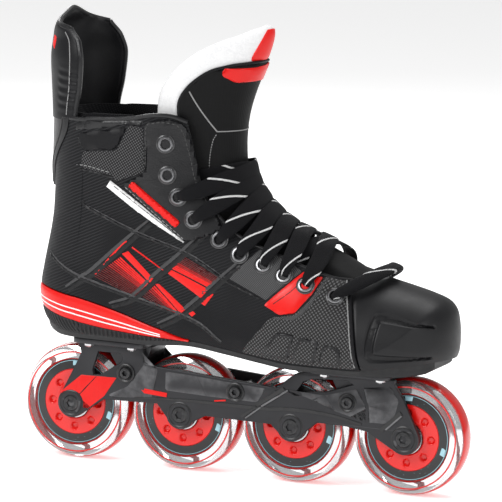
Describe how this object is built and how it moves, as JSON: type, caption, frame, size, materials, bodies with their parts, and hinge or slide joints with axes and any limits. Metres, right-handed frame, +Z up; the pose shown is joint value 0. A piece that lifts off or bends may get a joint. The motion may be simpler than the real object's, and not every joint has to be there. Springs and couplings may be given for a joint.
{
  "type": "inline hockey skate",
  "caption": "Right-foot inline hockey skate: laced padded boot with toe cap and tendon guard on a two-rail frame with wheels in one row.",
  "frame": {"origin": "on the ground, midway between the outer axles and in the plane of the wheels", "axes": "+X to the toe, +Y to the medial side, +Z up"},
  "size_m": [0.3248, 0.0969, 0.312],
  "materials": {
    "textile": "dark woven synthetic",
    "leather": "semi-matt black leather",
    "cap_plastic": "matt black",
    "sole_plastic": "matt black",
    "red_plastic": "glossy red",
    "lining": "brushed padding",
    "felt": "white felt",
    "lace": "flat woven lace",
    "frame": "satin composite",
    "steel": "bright steel",
    "black_steel": "black oxide",
    "urethane": "clear urethane",
    "core_red": "glossy red"
  },
  "bodies": {
    "boot": {"quarter_lateral": "textile", "quarter_medial": "textile", "facing_lateral": "leather", "facing_medial": "leather", "toe_cap": "cap_plastic", "outsole": "sole_plastic", "heel_band": "red_plastic", "backstay": "leather", "ankle_liner": "lining", "footbed": "lining", "tongue_base": "felt", "lace": "lace", "frame_rail_lateral": "frame", "frame_rail_medial": "frame", "rear_mount": "frame", "front_mount": "frame", "rear_mount_rivet_heel_end_lateral": "steel", "rear_mount_rivet_heel_end_medial": "steel", "rear_mount_rivet_toe_end_lateral": "steel", "rear_mount_rivet_toe_end_medial": "steel", "front_mount_rivet_heel_end_lateral": "steel", "front_mount_rivet_heel_end_medial": "steel", "front_mount_rivet_toe_end_lateral": "steel", "front_mount_rivet_toe_end_medial": "steel", "cross_bolt_rear": "black_steel", "cross_bolt_middle": "black_steel", "cross_bolt_front": "black_steel", "cross_sleeve_middle": "steel", "bearing_spacer_rear": "steel", "axle_bolt_rear": "black_steel", "axle_nut_rear": "black_steel", "bearing_spacer_mid_rear": "steel", "axle_bolt_mid_rear": "black_steel", "axle_nut_mid_rear": "black_steel", "bearing_spacer_mid_front": "steel", "axle_bolt_mid_front": "black_steel", "axle_nut_mid_front": "black_steel", "bearing_spacer_front": "steel", "axle_bolt_front": "black_steel", "axle_nut_front": "black_steel"},
    "tongue": {"tongue_flap": "felt"},
    "guard": {"tendon_guard": "leather"},
    "wheel_rear": {"tyre_rear": "urethane", "wheel_core_rear": "core_red", "bearing_rear_lateral": "steel", "bearing_rear_medial": "steel"},
    "wheel_mid_rear": {"tyre_mid_rear": "urethane", "wheel_core_mid_rear": "core_red", "bearing_mid_rear_lateral": "steel", "bearing_mid_rear_medial": "steel"},
    "wheel_mid_front": {"tyre_mid_front": "urethane", "wheel_core_mid_front": "core_red", "bearing_mid_front_lateral": "steel", "bearing_mid_front_medial": "steel"},
    "wheel_front": {"tyre_front": "urethane", "wheel_core_front": "core_red", "bearing_front_lateral": "steel", "bearing_front_medial": "steel"}
  },
  "joints": [
    {"name": "wheel_rear_spin", "type": "hinge", "parent": "boot", "child": "wheel_rear", "pos_m": [-0.1224, 0, 0.04], "axis": [0, 1, 0], "continuous": true},
    {"name": "wheel_mid_rear_spin", "type": "hinge", "parent": "boot", "child": "wheel_mid_rear", "pos_m": [-0.0408, 0, 0.04], "axis": [0, 1, 0], "continuous": true},
    {"name": "wheel_mid_front_spin", "type": "hinge", "parent": "boot", "child": "wheel_mid_front", "pos_m": [0.0408, 0, 0.04], "axis": [0, 1, 0], "continuous": true},
    {"name": "wheel_front_spin", "type": "hinge", "parent": "boot", "child": "wheel_front", "pos_m": [0.1224, 0, 0.04], "axis": [0, 1, 0], "continuous": true},
    {"name": "tongue_flex", "type": "hinge", "parent": "boot", "child": "tongue", "pos_m": [-0.0069, 0, 0.2395], "axis": [0, 1, 0], "range_deg": [0, 24], "stiffness_Nm_per_rad": 0.8, "springref_deg": -5.73},
    {"name": "tendon_guard_flex", "type": "hinge", "parent": "boot", "child": "guard", "pos_m": [-0.1452, 0, 0.2413], "axis": [0, -1, 0], "range_deg": [0, 18], "stiffness_Nm_per_rad": 2, "springref_deg": -2.86}
  ]
}
